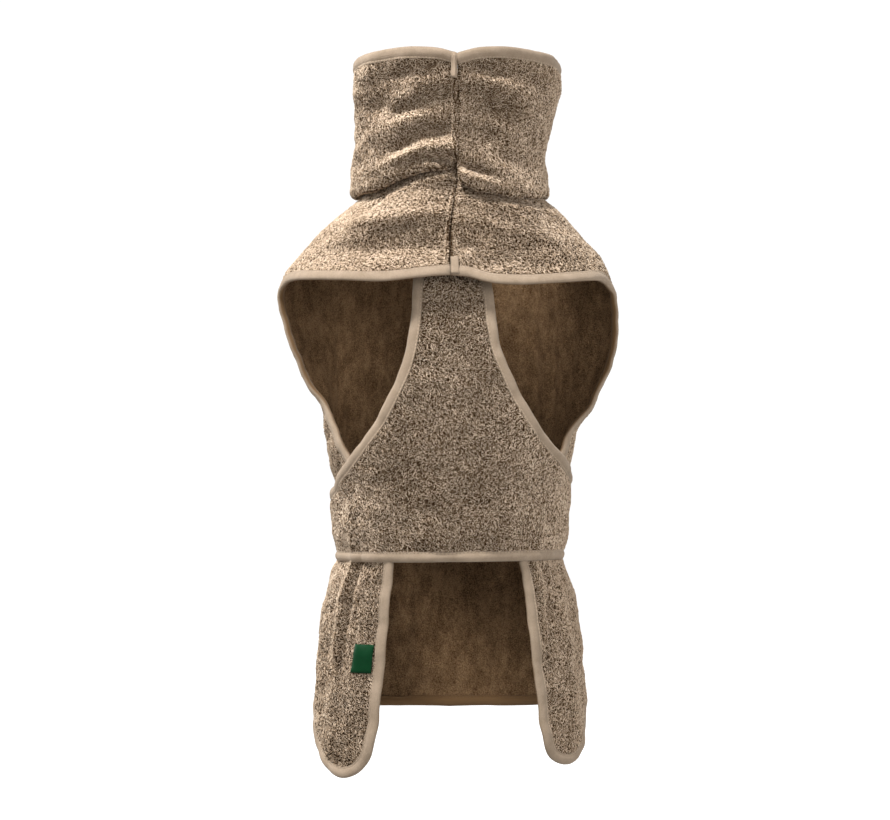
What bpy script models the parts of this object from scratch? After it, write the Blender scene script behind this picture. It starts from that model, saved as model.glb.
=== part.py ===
"""A dog bathrobe in terry towelling, filled out as if worn, with its chest side towards -Y.

Each piece is drawn flat and then laid round one trunk form. A flat drawing has two numbers for a point:
turn, the angle round the trunk from the centre of the back (90 is the side at +X, 180 the centre of the
chest), and drop, the distance in mm below the neck. Lengths are mm until add_object makes them metres.
"""

import bpy
import numpy as np
from mathutils import Vector
from mathutils.geometry import delaunay_2d_cdt

MM = 0.001
TERRY = 3.0  # thickness of the towelling
GAP = 0.3  # between two pieces that are sewn together
TAPE = 1.0  # thickness of the binding tape
REACH = 9.0  # how far the tape reaches in from an edge
FOLD_ROOM = 0.7  # room between an edge and the tape folded over it
TURN_MM = 2.0  # length of one degree of turn in the flat drawings
SEAM_TURN = 179.9  # where a half stops at the front seam, so that two halves are a gap apart
STATION = 15.0  # spacing of the points along a bound edge
GRID = (17.0, 24.0)  # spacing of the points inside a panel, round the trunk and down it
GRID_MARGIN = 10.5  # how far those points keep from the panel's outline and from the line under the tape

FORM = (
    # drop, half depth in front, half width, half depth behind, how far the front leans to +X
    (-40, 70, 77, 70, 7),
    (-10, 73, 79, 74, 6.5),
    (0, 75, 81, 76, 5),
    (40, 88, 96, 86, 0),
    (80, 97, 107, 94, 0),
    (140, 106, 115, 101, 0),
    (200, 110, 120, 104, 0),
    (225, 110, 121.5, 105, 0),
    (245, 110, 121.5, 105, 0),
    (265, 109, 117, 105, 0),
    (290, 107, 111, 105, 0),
    (330, 105, 109.5, 106, 0),
    (352, 104, 107.5, 106, 0),
    (370, 102, 114.5, 107, 0),
    (385, 101, 119.5, 107, 0),
    (400, 100, 123, 107, 0),
    (420, 100, 126.5, 107, 0),
    (450, 99, 129.5, 108, 0),
    (480, 98, 132, 108, 0),
    (510, 98, 134.5, 108, 0),
    (570, 96, 136, 108, 0),
)
FLARE = (
    # drop, how far the cape stands off the form at the left shoulder, at the right shoulder
    (-16, 0, 0),
    (0, 7, 9),
    (10, 15.5, 18),
    (18, 21.5, 23.5),
    (34, 33.5, 33),
    (50, 45, 42),
    (66, 54.5, 50.5),
    (82, 60.5, 55),
    (98, 64, 57),
    (110, 60.5, 57),
    (130, 52.5, 55.5),
    (150, 43.5, 50.5),
    (170, 32, 42),
    (190, 19.5, 31.5),
    (210, 5, 19.5),
    (230, 1, 4),
    (245, 0, 0),
)
SHARE = (
    # turn either way, share of the flare
    (0, 0),
    (60, 0.05),
    (80, 0.35),
    (93, 0.75),
    (105, 1.0),
    (130, 0.85),
    (155, 0.55),
    (172, 0.42),
    (180, 0.42),
)
CAPE_FOLDS = (
    # turn, drop, half length, half width, height, slope in degrees (90 runs down the cape)
    (-150, 20, 45, 9, 3.0, 12),
    (-152, 42, 45, 9, -4.0, 12),
    (-118, 30, 30, 8, -2.0, 40),
    (160, 50, 40, 10, -2.5, -10),
    (150, 30, 40, 9, 2.0, -10),
    (-127, 430, 90, 8, 3.0, 88),
    (-117, 450, 90, 9, -2.5, 88),
    (118, 430, 90, 9, 2.0, 92),
    (-84, 150, 90, 8, -3.5, 84),
    (-72, 170, 90, 8, 2.5, 86),
    (82, 150, 90, 10, -4.0, 95),
    (66, 170, 90, 9, 2.5, 94),
    (-30, 300, 130, 11, -3.0, 86),
    (-8, 200, 140, 12, 2.5, 92),
    (24, 330, 130, 11, -3.0, 94),
    (44, 250, 120, 10, 2.5, 90),
    (-50, 420, 80, 10, 2.5, 87),
    (52, 430, 80, 10, -2.5, 91),
)
SEAM_DIP = 2.0  # how far the front seam draws the cloth in
SEAM_DIP_WIDTH = 6.0

NECK_RISE = (
    # turn either way, height of the neck seam
    (0, 14),
    (40, 12),
    (90, 10),
    (120, 13),
    (140, 21),
    (160, 27),
    (180, 30),
)
RIGHT_EDGE = (
    # turn, drop of the bound edge from the front seam to the centre of the back
    (SEAM_TURN, 80),
    (172, 82),
    (165, 87),
    (155, 89),
    (140, 87),
    (126, 84),
    (117, 83),
    (110.5, 86),
    (105.5, 93),
    (102.5, 104),
    (101.6, 118),
    (101.6, 150),
    (101.8, 190),
    (104.3, 210),
    (108.5, 230),
    (115, 248),
    (123, 265),
    (132, 300),
    (140, 345),
    (141.5, 370),
    (142, 413),
    (141.2, 452),
    (139.5, 491),
    (138, 524),
    (134.5, 544),
    (129, 552.5),
    (122, 555.5),
    (114.5, 552.5),
    (107.5, 544),
    (102, 530),
    (97, 515),
    (91, 503),
    (82, 498),
    (66, 504),
    (40, 513),
    (0, 517),
)
LEFT_EDGE = (
    # the same for the left, from the centre of the back to the front seam
    (0, 517),
    (-40, 513),
    (-66, 504),
    (-82, 498),
    (-91, 504),
    (-97, 520),
    (-103, 539),
    (-112, 554),
    (-122, 564),
    (-131, 567),
    (-138, 561.5),
    (-144, 548),
    (-147.3, 525),
    (-148.7, 491),
    (-150.3, 442),
    (-150.8, 394),
    (-150, 365),
    (-147, 340),
    (-133, 300),
    (-122, 265),
    (-117, 250),
    (-111, 230),
    (-105.5, 210),
    (-102.3, 190),
    (-101.6, 150),
    (-101.6, 112),
    (-102.5, 99),
    (-105.5, 89),
    (-110.5, 84),
    (-117, 82.5),
    (-126, 83),
    (-140, 84.5),
    (-155, 86),
    (-166, 83),
    (-SEAM_TURN, 80),
)

COLLAR_PROFILE = (
    # row, out from the neck seam, above it, share of the hang, share of the height to the rim
    (0, -0.5, 3.2, 0, 0),
    (1, 6, 3, 0.08, 0),
    (2, 11.5, 1, 0.7, 0),
    (3, 14.5, 1.5, 1, 0),
    (4, 16.5, 3, 0.6, 0),
    (5, 15.5, 6, 0, 0.05),
    (6, 13.5, 4, 0, 0.22),
    (7, 13.5, 3, 0, 0.4),
    (8, 16.5, 2, 0, 0.58),
    (9, 20, 0, 0, 0.78),
    (10, 20.5, -REACH, 0, 1),
    (11, 21, 0, 0, 1),
)
COLLAR_HANG = (
    # turn, how far the roll at the collar's foot hangs below the neck seam, how far it is pushed out
    (-180, 8, 0),
    (-160, 9, 0),
    (-145, 11, 2),
    (-130, 12, 4),
    (-115, 9, 2),
    (-95, 8.5, 0),
    (0, 9, 0),
    (95, 8.5, 0),
    (115, 12, 6),
    (130, 20, 9),
    (150, 28, 11),
    (166, 28, 10),
    (174, 23, 7),
    (180, 18, 4),
)
COLLAR_RIM = (
    # turn either way, height of the rim
    (0, 137),
    (90, 133.5),
    (120, 138),
    (150, 140),
    (166, 138.5),
    (180, 133),
)
COLLAR_LEAN = (
    # height, how far the tube leans to +X behind and at its sides
    (0, 0),
    (40, 0),
    (76, 3),
    (100, 6),
    (137, 6.5),
)
COLLAR_FOLDS = (
    # turn, height, half length, half width, depth, slope in degrees (0 runs round the neck)
    (-167, 43, 30, 6, 4.0, 18),
    (-172, 34, 22, 5, -5.0, 0),
    (-165, 60, 36, 8, -4.0, 8),
    (-146, 71, 34, 8, 4.0, 5),
    (-131, 88, 28, 9, -4.0, -12),
    (-165, 108, 34, 8, 3.5, 32),
    (166, 119, 20, 7, -2.5, 0),
    (151, 97, 44, 10, 3.0, -17),
    (158, 40, 22, 8, -2.5, 0),
    (110, 60, 40, 9, -3.0, 20),
    (75, 80, 40, 9, 3.0, -15),
    (40, 40, 45, 9, -3.5, 10),
    (20, 90, 45, 10, 3.0, -8),
    (-25, 60, 45, 9, -3.0, 12),
    (-60, 95, 40, 10, 3.0, 15),
    (-85, 50, 36, 8, -2.0, -10),
    (-92, 22, 60, 18, 1, 0),
    (92, 24, 60, 16, -2, 0),
)
COLLAR_TURNS = (0.1, 3, 8, 17, 28, 39, 50, 61, 72, 83, 94, 105, 116, 127, 137, 146, 155, 163, 170, 176, 179.9)

CHEST_LIFT = (
    # drop, how far the chest panel stands off the form
    (-40, -5),
    (10, -5),
    (40, -2),
    (80, 3),
    (120, 6),
    (140, 6.4),
    (370, 6.4),
)
OVERLAP_LIFT = (
    # swing, how much further off the left wing stands to lie over the right one
    (-200, 6.6),
    (-163, 6.6),
    (-140, 0),
    (200, 0),
)
STRAP_TOP = ((-20, -24), (-10, -26.5), (0, -27), (10, -23), (20, -20))
CHEST_EDGE = (
    # swing from the centre of the chest, drop: from the strap's right corner, round, to its left one
    (20, -20),
    (20.5, 20),
    (21, 60),
    (20.8, 100),
    (20.8, 126),
    (23, 153),
    (27.5, 176.5),
    (33.3, 200),
    (42.8, 229),
    (53.4, 248),
    (66, 262),
    (80, 272),
    (105, 282),
    (140, 292),
    (170, 297),
    (184, 301),
    (191.5, 311),
    (193.5, 329),
    (191.5, 347),
    (184, 356.5),
    (170, 360),
    (130, 359),
    (90, 357),
    (45, 354.5),
    (0, 354),
    (-45, 356),
    (-90, 358.5),
    (-130, 360),
    (-170, 360),
    (-184, 356.5),
    (-191.5, 347),
    (-193.5, 329),
    (-191.5, 311),
    (-184, 301),
    (-170, 298),
    (-140, 297),
    (-105, 295),
    (-85, 291),
    (-72, 285),
    (-61.6, 271.5),
    (-50, 256.5),
    (-40.6, 239),
    (-33, 219.6),
    (-26.8, 195.6),
    (-22, 172),
    (-18.6, 143),
    (-17.6, 114),
    (-17.8, 80),
    (-19, 30),
    (-20, -24),
)

LABEL_TURNS = (-145.0, -133.8)
LABEL_DROPS = (435.0, 465.0)
LABEL_THICKNESS = 0.8
LABEL_OFFSET = 2.6
TAB_TURNS = (175.4, 179.1)
TAB_DROPS = (67.0, 80.5)
TAB_THICKNESS = 1.0
TAB_OFFSET = 3.9

COLOURS = {
    # material: (linear red, green, blue), roughness
    "terry": ((0.215, 0.165, 0.115), 0.95),
    "binding": ((0.36, 0.28, 0.205), 0.85),
    "label_cloth": ((0.006, 0.05, 0.012), 0.7),
}


def clear_scene():
    for thing in list(bpy.data.objects):
        bpy.data.objects.remove(thing)


def make_material(name):
    colour, roughness = COLOURS[name]
    material = bpy.data.materials.new(name)
    material.use_nodes = True
    shader = material.node_tree.nodes["Principled BSDF"]
    shader.inputs["Base Color"].default_value = (*colour, 1)
    shader.inputs["Roughness"].default_value = roughness
    return material


def add_object(name, points, faces, material):
    """One closed mesh; its faces are turned round when they point inwards."""
    mesh = bpy.data.meshes.new(name)
    mesh.from_pydata((np.asarray(points) * MM).tolist(), [], [list(face) for face in faces])
    mesh.calc_loop_triangles()
    corners = np.array([[mesh.vertices[i].co for i in face.vertices] for face in mesh.loop_triangles])
    if np.linalg.det(corners).sum() < 0:
        mesh.flip_normals()
    mesh.materials.append(material)
    thing = bpy.data.objects.new(name, mesh)
    bpy.context.scene.collection.objects.link(thing)
    return thing


def through(x, y, slope, at):
    """A cubic curve through the points (x, y), with the given slope at each."""
    at = np.clip(at, x[0], x[-1])
    low = np.clip(np.searchsorted(x, at) - 1, 0, len(x) - 2)
    span = x[low + 1] - x[low]
    part = (at - x[low]) / span
    start = y[low] * (1 + 2 * part) * (1 - part) ** 2 + slope[low] * span * part * (1 - part) ** 2
    end = y[low + 1] * (3 - 2 * part) * part**2 - slope[low + 1] * span * (1 - part) * part**2
    return start + end


def read_table(table, at, column=1):
    """A column of a table at any value of its first column, with no swing past the rows."""
    rows = np.array(table, float)
    x = rows[:, 0]
    y = rows[:, column]
    rise = np.diff(y) / np.diff(x)
    slope = np.concatenate([rise[:1], np.zeros(len(rise) - 1), rise[-1:]])
    same_way = rise[:-1] * rise[1:] > 0
    both = np.where(same_way, rise[:-1] + rise[1:], 1)
    slope[1:-1] = np.where(same_way, 2 * rise[:-1] * rise[1:] / both, 0)
    return through(x, y, slope, at)


def folds(table, across, down, across_scale):
    """The summed height of soft folds at points of a flat drawing."""
    height = np.zeros(np.shape(across))
    for turn, drop, half_length, half_width, fold_height, slope in table:
        angle = np.radians(slope)
        sideways = (across - turn) * across_scale
        along = sideways * np.cos(angle) + (down - drop) * np.sin(angle)
        off = (down - drop) * np.cos(angle) - sideways * np.sin(angle)
        height = height + fold_height * np.exp(-((along / half_length) ** 2) - (off / half_width) ** 2)
    return height


def trunk(turn, drop, stand_off):
    """Points this far off the trunk form, with the cape's folds in them."""
    turn = (turn + 180) % 360 - 180
    angle = np.radians(turn)
    depth = np.where(np.cos(angle) > 0, read_table(FORM, drop, 3), read_table(FORM, drop, 1))
    off = stand_off + folds(CAPE_FOLDS, turn, drop, TURN_MM)
    lean = read_table(FORM, drop, 4) * np.clip(-np.cos(angle), 0, 1) ** 2
    x = (read_table(FORM, drop, 2) + off) * np.sin(angle) + lean
    y = (depth + off) * np.cos(angle)
    return np.stack([x, y, -drop + 0 * x], axis=-1)


def cape_surface(flat):
    turn, drop = flat[:, 0], flat[:, 1]
    rightness = (1 + np.sin(np.radians(turn))) / 2
    flare = read_table(FLARE, drop, 1) * (1 - rightness) + read_table(FLARE, drop, 2) * rightness
    from_seam = (180 - np.abs(turn)) * TURN_MM
    below_neck = np.clip((drop + 25) / 25, 0, 1)
    dip = SEAM_DIP * below_neck * np.exp(-((from_seam / SEAM_DIP_WIDTH) ** 2))
    return trunk(turn, drop, flare * read_table(SHARE, np.abs(turn)) - dip)


def chest_surface(flat):
    swing, drop = flat[:, 0], flat[:, 1]
    return trunk(180 - swing, drop, read_table(CHEST_LIFT, drop) + read_table(OVERLAP_LIFT, swing))


def collar_surface(flat):
    """The collar's flat drawing has turn, and the row of its profile in place of drop."""
    turn, row = flat[:, 0], flat[:, 1]
    angle = np.radians(turn)
    neck_height = read_table(NECK_RISE, np.abs(turn))
    neck = cape_surface(np.stack([turn, -neck_height], axis=-1))
    roll_share = read_table(COLLAR_PROFILE, row, 3)
    hang = read_table(COLLAR_HANG, turn, 1) * roll_share
    to_rim = (read_table(COLLAR_RIM, np.abs(turn)) - neck_height) * read_table(COLLAR_PROFILE, row, 4)
    height = neck_height + read_table(COLLAR_PROFILE, row, 2) - hang + to_rim
    loose = np.clip(row / 4, 0, 1)
    seam_mm = np.radians(np.minimum(180 - np.abs(turn), np.abs(turn))) * 100
    dip = SEAM_DIP * np.exp(-((seam_mm / SEAM_DIP_WIDTH) ** 2))
    out = read_table(COLLAR_PROFILE, row, 1) + read_table(COLLAR_HANG, turn, 2) * roll_share
    out = out + loose * (folds(COLLAR_FOLDS, turn, height, 1.65) - dip)
    lean = read_table(COLLAR_LEAN, height) * (1 - np.clip(-np.cos(angle), 0, 1) ** 2)
    x = neck[:, 0] + out * np.sin(angle) + lean
    y = neck[:, 1] + out * np.cos(angle)
    return np.stack([x, y, height], axis=-1)


def normals(surface, flat):
    """Outward normals of a surface at points of its flat drawing; at a centre seam they keep to its plane."""
    step = np.array([0.05, 0.05])
    across = surface(flat + step * (1, 0)) - surface(flat - step * (1, 0))
    down = surface(flat + step * (0, 1)) - surface(flat - step * (0, 1))
    normal = np.cross(across, down)
    on_seam = np.minimum(np.abs(flat[:, 0]), 180 - np.abs(flat[:, 0])) < 0.11
    normal[on_seam, 0] = 0
    normal /= np.linalg.norm(normal, axis=1)[:, None]
    return normal * np.sign((normal * surface(flat))[:, :2].sum())


def smooth_line(surface, rows, spacing):
    """Points of a flat drawing along a smooth line through the rows, evenly spaced on the surface."""
    rows = np.array(rows, float)
    steps = np.linalg.norm(np.diff(rows * (TURN_MM, 1), axis=0), axis=1)
    at = np.concatenate([[0], np.cumsum(steps)])
    fine_at = np.linspace(0, at[-1], 40 * len(rows))
    columns = [through(at, rows[:, c], np.gradient(rows[:, c], at), fine_at) for c in (0, 1)]
    fine = np.stack(columns, axis=-1)
    lengths = np.linalg.norm(np.diff(surface(fine), axis=0), axis=1)
    travelled = np.concatenate([[0], np.cumsum(lengths)])
    count = int(round(travelled[-1] / spacing)) + 1
    stations = np.linspace(0, travelled[-1], count)
    return np.stack([np.interp(stations, travelled, fine[:, c]) for c in (0, 1)], axis=-1)


def inner_line(surface, edge, start_way, end_way):
    """The edge's points moved in by the tape's reach; at its two ends they move along the free edge."""
    scaled = edge * (TURN_MM, 1)
    along = np.gradient(scaled, axis=0)
    ways = np.stack([-along[:, 1], along[:, 0]], axis=-1)
    ways[0], ways[-1] = start_way, end_way
    ways /= np.linalg.norm(ways, axis=1)[:, None]
    nearby = (scaled + ways) / (TURN_MM, 1)
    stretch = np.linalg.norm(surface(nearby) - surface(edge), axis=1)
    return (scaled + ways * REACH / stretch[:, None]) / (TURN_MM, 1)


def inside(points, loop):
    """Which points lie inside a closed loop."""
    x, y = points[:, 0][:, None], points[:, 1][:, None]
    ax, ay = loop[:, 0][None], loop[:, 1][None]
    bx, by = np.roll(loop[:, 0], -1)[None], np.roll(loop[:, 1], -1)[None]
    crosses = (ay > y) != (by > y)
    rise = np.where(by == ay, 1, by - ay)
    return (crosses & (x < ax + (y - ay) / rise * (bx - ax))).sum(axis=1) % 2 == 1


def fill(edge, inner, free):
    """Points and triangles of a panel: a strip under the tape, then a net as far as the free edge."""
    count = len(edge)
    loop = np.concatenate([inner, free]) * (TURN_MM, 1)
    low, high = loop.min(axis=0), loop.max(axis=0)
    rows = []
    for number, down in enumerate(np.arange(low[1], high[1], GRID[1])):
        across = np.arange(low[0] + GRID[0] * (number % 2) / 2, high[0], GRID[0])
        rows.append(np.stack([across, np.full(len(across), down)], axis=-1))
    grid = np.concatenate(rows)
    grid = grid[inside(grid, loop)]
    nearest = np.linalg.norm(grid[:, None] - loop[None], axis=2).min(axis=1)
    grid = grid[nearest > GRID_MARGIN]
    corners, _, net, *_ = delaunay_2d_cdt(
        [Vector(point) for point in np.concatenate([loop, grid])],
        [],
        [list(range(len(loop)))],
        1,
        1e-6,
    )
    strip = [[i, i + 1, i + 1 + count] for i in range(count - 1)]
    strip += [[i, i + 1 + count, i + count] for i in range(count - 1)]
    flat = np.concatenate([edge, np.array(corners) / (TURN_MM, 1)])
    return flat, strip + [[i + count for i in face] for face in net]


def wall(surface, flat, faces, thickness):
    """A closed wall of even thickness on a surface."""
    middle = surface(flat)
    offset = normals(surface, flat) * thickness / 2
    count = len(flat)
    sides = {}
    for face in faces:
        for a, b in zip(face, face[1:] + face[:1]):
            sides[a, b] = True
    rim = [(b, a, a + count, b + count) for a, b in sides if (b, a) not in sides]
    under = [tuple(i + count for i in reversed(face)) for face in faces]
    return np.concatenate([middle + offset, middle - offset]), [tuple(f) for f in faces] + under + rim


def tape(surface, edge, inner):
    """Binding tape folded over an edge, from the panel's own points at the edge and at the tape's reach."""
    edge_point, inner_point = surface(edge), surface(inner)
    edge_normal, inner_normal = normals(surface, edge), normals(surface, inner)
    out = edge_point - inner_point
    out /= np.linalg.norm(out, axis=1)[:, None]
    near = TERRY / 2 + GAP
    far = near + TAPE
    profile = (
        inner_point + inner_normal * near,
        edge_point + edge_normal * near + out * FOLD_ROOM,
        edge_point - edge_normal * near + out * FOLD_ROOM,
        inner_point - inner_normal * near,
        inner_point - inner_normal * far,
        edge_point - edge_normal * far + out * (FOLD_ROOM + TAPE),
        edge_point + edge_normal * far + out * (FOLD_ROOM + TAPE),
        inner_point + inner_normal * far,
    )
    points = np.stack(profile, axis=1)
    stations, corners = points.shape[:2]
    faces = []
    for c in range(corners):
        for s in range(stations - 1):
            a = s * corners + c
            b = s * corners + (c + 1) % corners
            # Each square is split the same way as the strip of panel inside it, so that they never cross.
            if c in (0, 4):
                faces += [(b, b + corners, a + corners), (b, a + corners, a)]
            else:
                faces += [(a, b, b + corners), (a, b + corners, a + corners)]
    last = (stations - 1) * corners
    for a, b, c, d in ((0, 1, 6, 7), (1, 2, 5, 6), (2, 3, 4, 5)):
        faces.append((d, c, b, a))
        faces.append((last + a, last + b, last + c, last + d))
    return points.reshape(-1, 3), faces


def grid_faces(columns, rows):
    faces = []
    for c in range(columns - 1):
        for r in range(rows - 1):
            corner = c * rows + r
            faces.append([corner, corner + 1, corner + rows])
            faces.append([corner + 1, corner + rows + 1, corner + rows])
    return faces


def patch(surface, turns, drops, offset, thickness, cells):
    """A small piece that lies on a panel, moved out from it."""
    across = np.linspace(*turns, cells[0] + 1)
    down = np.linspace(*drops, cells[1] + 1)
    flat = np.array([(turn, drop) for turn in across for drop in down])

    def above(at):
        return surface(at) + normals(surface, at) * offset

    return wall(above, flat, grid_faces(len(across), len(down)), thickness)


def build_cape(terry, binding):
    """Yoke, back and two thigh flaps in one cut; its front ends meet at the front seam."""
    right = smooth_line(cape_surface, RIGHT_EDGE, STATION)
    left = smooth_line(cape_surface, LEFT_EDGE, STATION)
    edge = np.concatenate([right, left[1:]])
    inner = inner_line(cape_surface, edge, (0, -1), (0, -1))
    neck_turns = np.linspace(-SEAM_TURN, SEAM_TURN, 41)
    neck = np.stack([neck_turns, -read_table(NECK_RISE, np.abs(neck_turns))], axis=-1)
    seam_drops = np.array([-10.0, 12, 34, 53])
    right_seam = np.stack([np.full(4, SEAM_TURN), seam_drops], axis=-1)
    left_seam = (right_seam * (-1, 1))[::-1]
    flat, faces = fill(edge, inner, np.concatenate([left_seam, neck, right_seam]))
    add_object("cape", *wall(cape_surface, flat, faces, TERRY), terry)
    add_object("cape_binding", *tape(cape_surface, edge, inner), binding)


def build_chest(terry, binding):
    """Strap and belly band in one cut; the wings go round the sides and lap over each other on the back."""
    edge = smooth_line(chest_surface, CHEST_EDGE, STATION)
    top = np.array(STRAP_TOP, float)
    right_way = (top[-2] - top[-1]) * (TURN_MM, 1)
    left_way = (top[1] - top[0]) * (TURN_MM, 1)
    inner = inner_line(chest_surface, edge, right_way, left_way)
    flat, faces = fill(edge, inner, top[1:-1])
    add_object("chest_panel", *wall(chest_surface, flat, faces, TERRY), terry)
    add_object("chest_binding", *tape(chest_surface, edge, inner), binding)


def build_collar(side, sign, terry, binding):
    """One half of the collar: a roll over the neck seam and a tall tube with a bound rim."""
    turns = np.array(COLLAR_TURNS) * sign
    rows = [row[0] for row in COLLAR_PROFILE]
    flat = np.array([(turn, row) for turn in turns for row in rows], float)
    faces = grid_faces(len(turns), len(rows))
    add_object(f"collar_{side}", *wall(collar_surface, flat, faces, TERRY), terry)
    rim = np.stack([turns, np.full(len(turns), rows[-1])], axis=-1)
    below_rim = np.stack([turns, np.full(len(turns), rows[-2])], axis=-1)
    add_object(f"collar_binding_{side}", *tape(collar_surface, rim, below_rim), binding)


def build_trims(label_cloth, binding):
    """The blank label on the left flap, and the tab over the place where the yoke's tape ends meet."""
    label = patch(cape_surface, LABEL_TURNS, LABEL_DROPS, LABEL_OFFSET, LABEL_THICKNESS, (3, 3))
    add_object("label", *label, label_cloth)
    tab = patch(cape_surface, TAB_TURNS, TAB_DROPS, TAB_OFFSET, TAB_THICKNESS, (2, 2))
    add_object("hem_tab", *tab, binding)


def main():
    clear_scene()
    terry = make_material("terry")
    binding = make_material("binding")
    label_cloth = make_material("label_cloth")
    build_cape(terry, binding)
    build_chest(terry, binding)
    build_collar("left", -1, terry, binding)
    build_collar("right", 1, terry, binding)
    build_trims(label_cloth, binding)


main()
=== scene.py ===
"""The looks of a dog bathrobe in terry towelling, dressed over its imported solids.

Each piece is drawn flat and then laid round one trunk form, as its solid is. A flat drawing has two numbers
for a point: turn, the angle round the trunk from the centre of the back (90 is the side at +X, 180 the
centre of the chest), and drop, the distance in mm below the neck. Lengths are mm until add_piece makes them
metres, in the frame's own axes: +Z up, with the chest side towards -Y.
"""

import bpy
import numpy as np
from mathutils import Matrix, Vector
from mathutils.geometry import delaunay_2d_cdt
from mathutils.kdtree import KDTree


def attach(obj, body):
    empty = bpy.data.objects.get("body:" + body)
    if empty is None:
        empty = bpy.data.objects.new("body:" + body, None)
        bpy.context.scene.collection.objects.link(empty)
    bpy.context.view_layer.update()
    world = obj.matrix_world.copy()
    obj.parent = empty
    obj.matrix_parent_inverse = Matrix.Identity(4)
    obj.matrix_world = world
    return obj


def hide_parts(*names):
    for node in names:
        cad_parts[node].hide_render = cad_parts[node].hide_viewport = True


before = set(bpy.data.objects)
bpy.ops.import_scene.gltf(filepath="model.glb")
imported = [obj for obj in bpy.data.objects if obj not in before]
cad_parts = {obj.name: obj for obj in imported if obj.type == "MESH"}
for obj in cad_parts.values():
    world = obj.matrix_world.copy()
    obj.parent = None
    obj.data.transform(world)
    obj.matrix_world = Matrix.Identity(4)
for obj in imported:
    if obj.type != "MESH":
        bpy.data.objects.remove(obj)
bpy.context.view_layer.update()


# --- The cape ---
# Yoke, back and two thigh flaps in one cut of terry towelling, about 3 mm thick with its loops. Its front
# ends are sewn together at the front seam, it hangs from the neck seam, and the rest of its edge is bound.

MM = 0.001
TURN_MM = 2.0  # length of one degree of turn in the flat drawings
REACH = 9.0  # how far the binding reaches in from an edge
SEAM_TURN = 179.99  # where a half stops at the front seam
ON_SEAM = 0.11  # degrees of turn within which a point counts as on a centre seam
NUDGE = 0.05  # how far a point is moved in the flat drawing to find the slopes there
NECK_EASE = 25.0  # height above the neck over which its seam and ripples fade out
FINE_STEPS = 40  # to each row of an edge, before its points are spaced evenly
EDGE_STEP = 4.0  # spacing of the points along a bound edge
NET_STEP = 3.9  # spacing of the points inside a panel
NECK_POINTS = 130
SEAM_DROPS = (-26.0, 69.0)  # from the top of the front seam to its foot
SEAM_STEP = 2.4  # spacing of the points down it
WELT_COLUMNS = (1.2, 2.2, 3.2, 4.2, 5.4, 7.2)  # distances from it of the points that carry its shape
ONLY_INSIDE = 1  # the triangulation keeps what lies inside the outline
SAME_POINT = 1e-6  # points nearer to each other than this are one
CLOTH = 1.5  # thickness of the ground weave that carries the loops

FORM = (
    # drop, half depth in front, half width, half depth behind, how far the front leans to +X
    (-40, 70, 77, 70, 7),
    (-10, 73, 79, 74, 6.5),
    (0, 75, 81, 76, 5),
    (40, 88, 96, 86, 0),
    (80, 97, 107, 94, 0),
    (140, 106, 115, 101, 0),
    (200, 110, 120, 104, 0),
    (225, 110, 121.5, 105, 0),
    (245, 110, 121.5, 105, 0),
    (265, 109, 117, 105, 0),
    (290, 107, 111, 105, 0),
    (330, 105, 109.5, 106, 0),
    (352, 104, 107.5, 106, 0),
    (370, 102, 114.5, 107, 0),
    (385, 101, 119.5, 107, 0),
    (400, 100, 123, 107, 0),
    (420, 100, 126.5, 107, 0),
    (450, 99, 129.5, 108, 0),
    (480, 98, 132, 108, 0),
    (510, 98, 134.5, 108, 0),
    (570, 96, 136, 108, 0),
)
FLARE = (
    # drop, how far the cape stands off the form at the left shoulder, at the right shoulder
    (-16, 0, 0),
    (0, 7, 9),
    (10, 15.5, 18),
    (18, 21.5, 23.5),
    (34, 33.5, 33),
    (50, 45, 42),
    (66, 54.5, 50.5),
    (82, 60.5, 55),
    (98, 64, 57),
    (110, 60.5, 57),
    (130, 52.5, 55.5),
    (150, 43.5, 50.5),
    (170, 32, 42),
    (190, 19.5, 31.5),
    (210, 5, 19.5),
    (230, 1, 4),
    (245, 0, 0),
)
SHARE = (
    # turn either way, share of the flare
    (0, 0),
    (60, 0.05),
    (80, 0.35),
    (93, 0.75),
    (105, 1.0),
    (130, 0.85),
    (155, 0.55),
    (172, 0.42),
    (180, 0.42),
)
HEM_FLICK = (
    # drop, how much further the front of the yoke stands off as it kicks out to its hem
    (58, 0),
    (72, 3.5),
    (90, 9),
    (110, 9),
    (240, 0),
)
FLICK_SHARE = (
    # turn either way, share of the flick
    (108, 0),
    (125, 0.7),
    (145, 1),
    (180, 1),
)
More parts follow.
